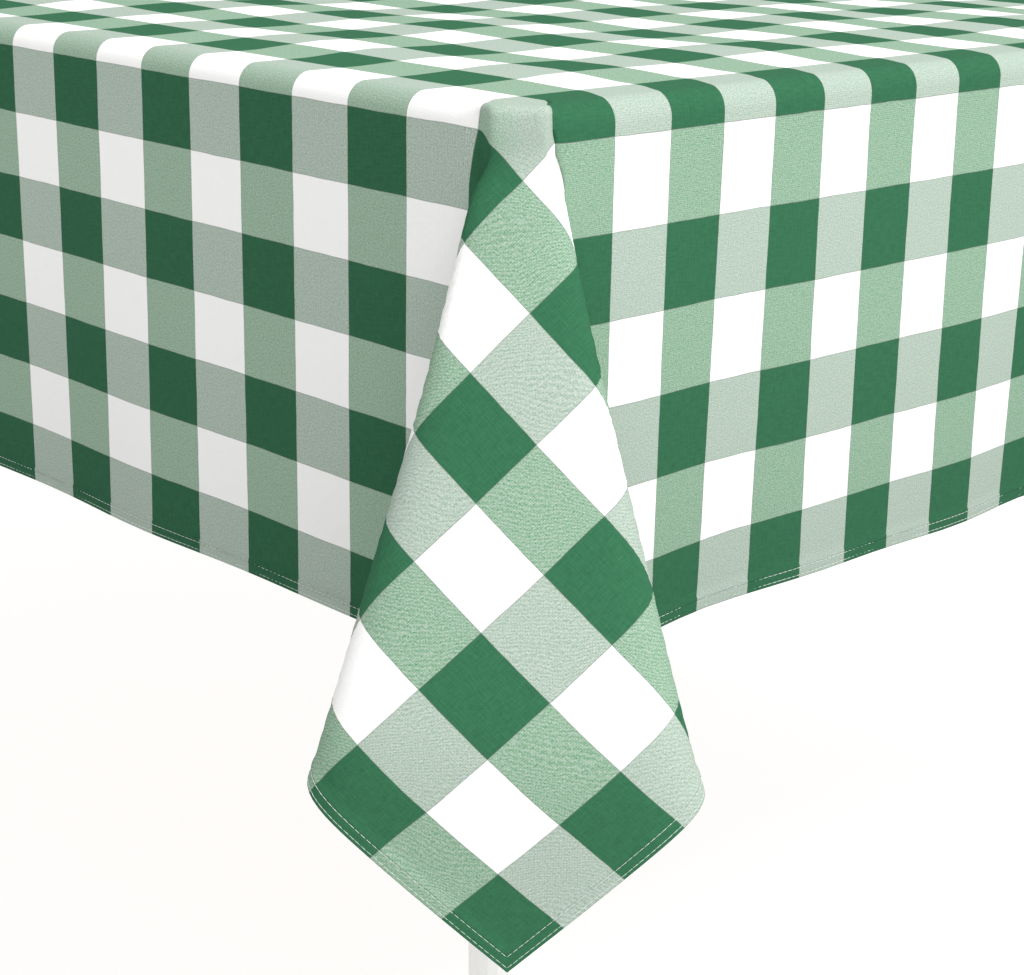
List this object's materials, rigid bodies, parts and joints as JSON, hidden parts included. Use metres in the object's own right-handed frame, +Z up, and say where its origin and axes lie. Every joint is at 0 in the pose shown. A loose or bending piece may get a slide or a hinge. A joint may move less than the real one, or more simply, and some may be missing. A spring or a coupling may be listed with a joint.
{
  "type": "table with tablecloth",
  "caption": "Rectangular dining table under a loose two-tone checked tablecloth that hangs down all round, its spare cloth folded into a broad hanging point at each corner.",
  "frame": {"origin": "on the floor under the middle of the table", "axes": "+X along the table's length, +Y across it, +Z up; the corner towards +X and -Y is the near one"},
  "size_m": [1.7506, 1.1506, 0.7513],
  "materials": {
    "gingham_cotton": "matte woven check in green and white",
    "oiled_wood": "satin oil",
    "plain_wood": "sanded, unfinished",
    "white_paint": "satin white paint",
    "zinc_steel": "zinc plated",
    "glide_plastic": "moulded"
  },
  "bodies": {
    "table": {"tabletop": "oiled_wood", "cross_rail": "plain_wood", "apron_front": "white_paint", "apron_back": "white_paint", "apron_left": "white_paint", "apron_right": "white_paint", "leg_front_right": "white_paint", "leg_back_right": "white_paint", "leg_back_left": "white_paint", "leg_front_left": "white_paint", "corner_brace_front_right": "plain_wood", "corner_brace_back_right": "plain_wood", "corner_brace_back_left": "plain_wood", "corner_brace_front_left": "plain_wood", "hanger_bolt_front_right": "zinc_steel", "hanger_bolt_back_right": "zinc_steel", "hanger_bolt_back_left": "zinc_steel", "hanger_bolt_front_left": "zinc_steel", "leg_nut_front_right": "zinc_steel", "leg_nut_back_right": "zinc_steel", "leg_nut_back_left": "zinc_steel", "leg_nut_front_left": "zinc_steel", "foot_glide_front_right": "glide_plastic", "foot_glide_back_right": "glide_plastic", "foot_glide_back_left": "glide_plastic", "foot_glide_front_left": "glide_plastic", "angle_bracket_1": "zinc_steel", "angle_bracket_2": "zinc_steel", "angle_bracket_3": "zinc_steel", "angle_bracket_4": "zinc_steel", "angle_bracket_5": "zinc_steel", "angle_bracket_6": "zinc_steel", "board_screw_1": "zinc_steel", "board_screw_2": "zinc_steel", "board_screw_3": "zinc_steel", "board_screw_4": "zinc_steel", "board_screw_5": "zinc_steel", "board_screw_6": "zinc_steel", "apron_screw_1": "zinc_steel", "apron_screw_2": "zinc_steel", "apron_screw_3": "zinc_steel", "apron_screw_4": "zinc_steel", "apron_screw_5": "zinc_steel", "apron_screw_6": "zinc_steel"},
    "cloth": {"cloth_top": "gingham_cotton", "cloth_drop_front": "gingham_cotton", "cloth_drop_back": "gingham_cotton", "cloth_drop_left": "gingham_cotton", "cloth_drop_right": "gingham_cotton", "cloth_fold_front_right": "gingham_cotton", "cloth_fold_back_right": "gingham_cotton", "cloth_fold_back_left": "gingham_cotton", "cloth_fold_front_left": "gingham_cotton"}
  },
  "joints": [
    {"name": "cloth_lift", "type": "slide", "parent": "table", "child": "cloth", "axis": [0, 0, 1], "range_m": [0, 0.4]}
  ]
}
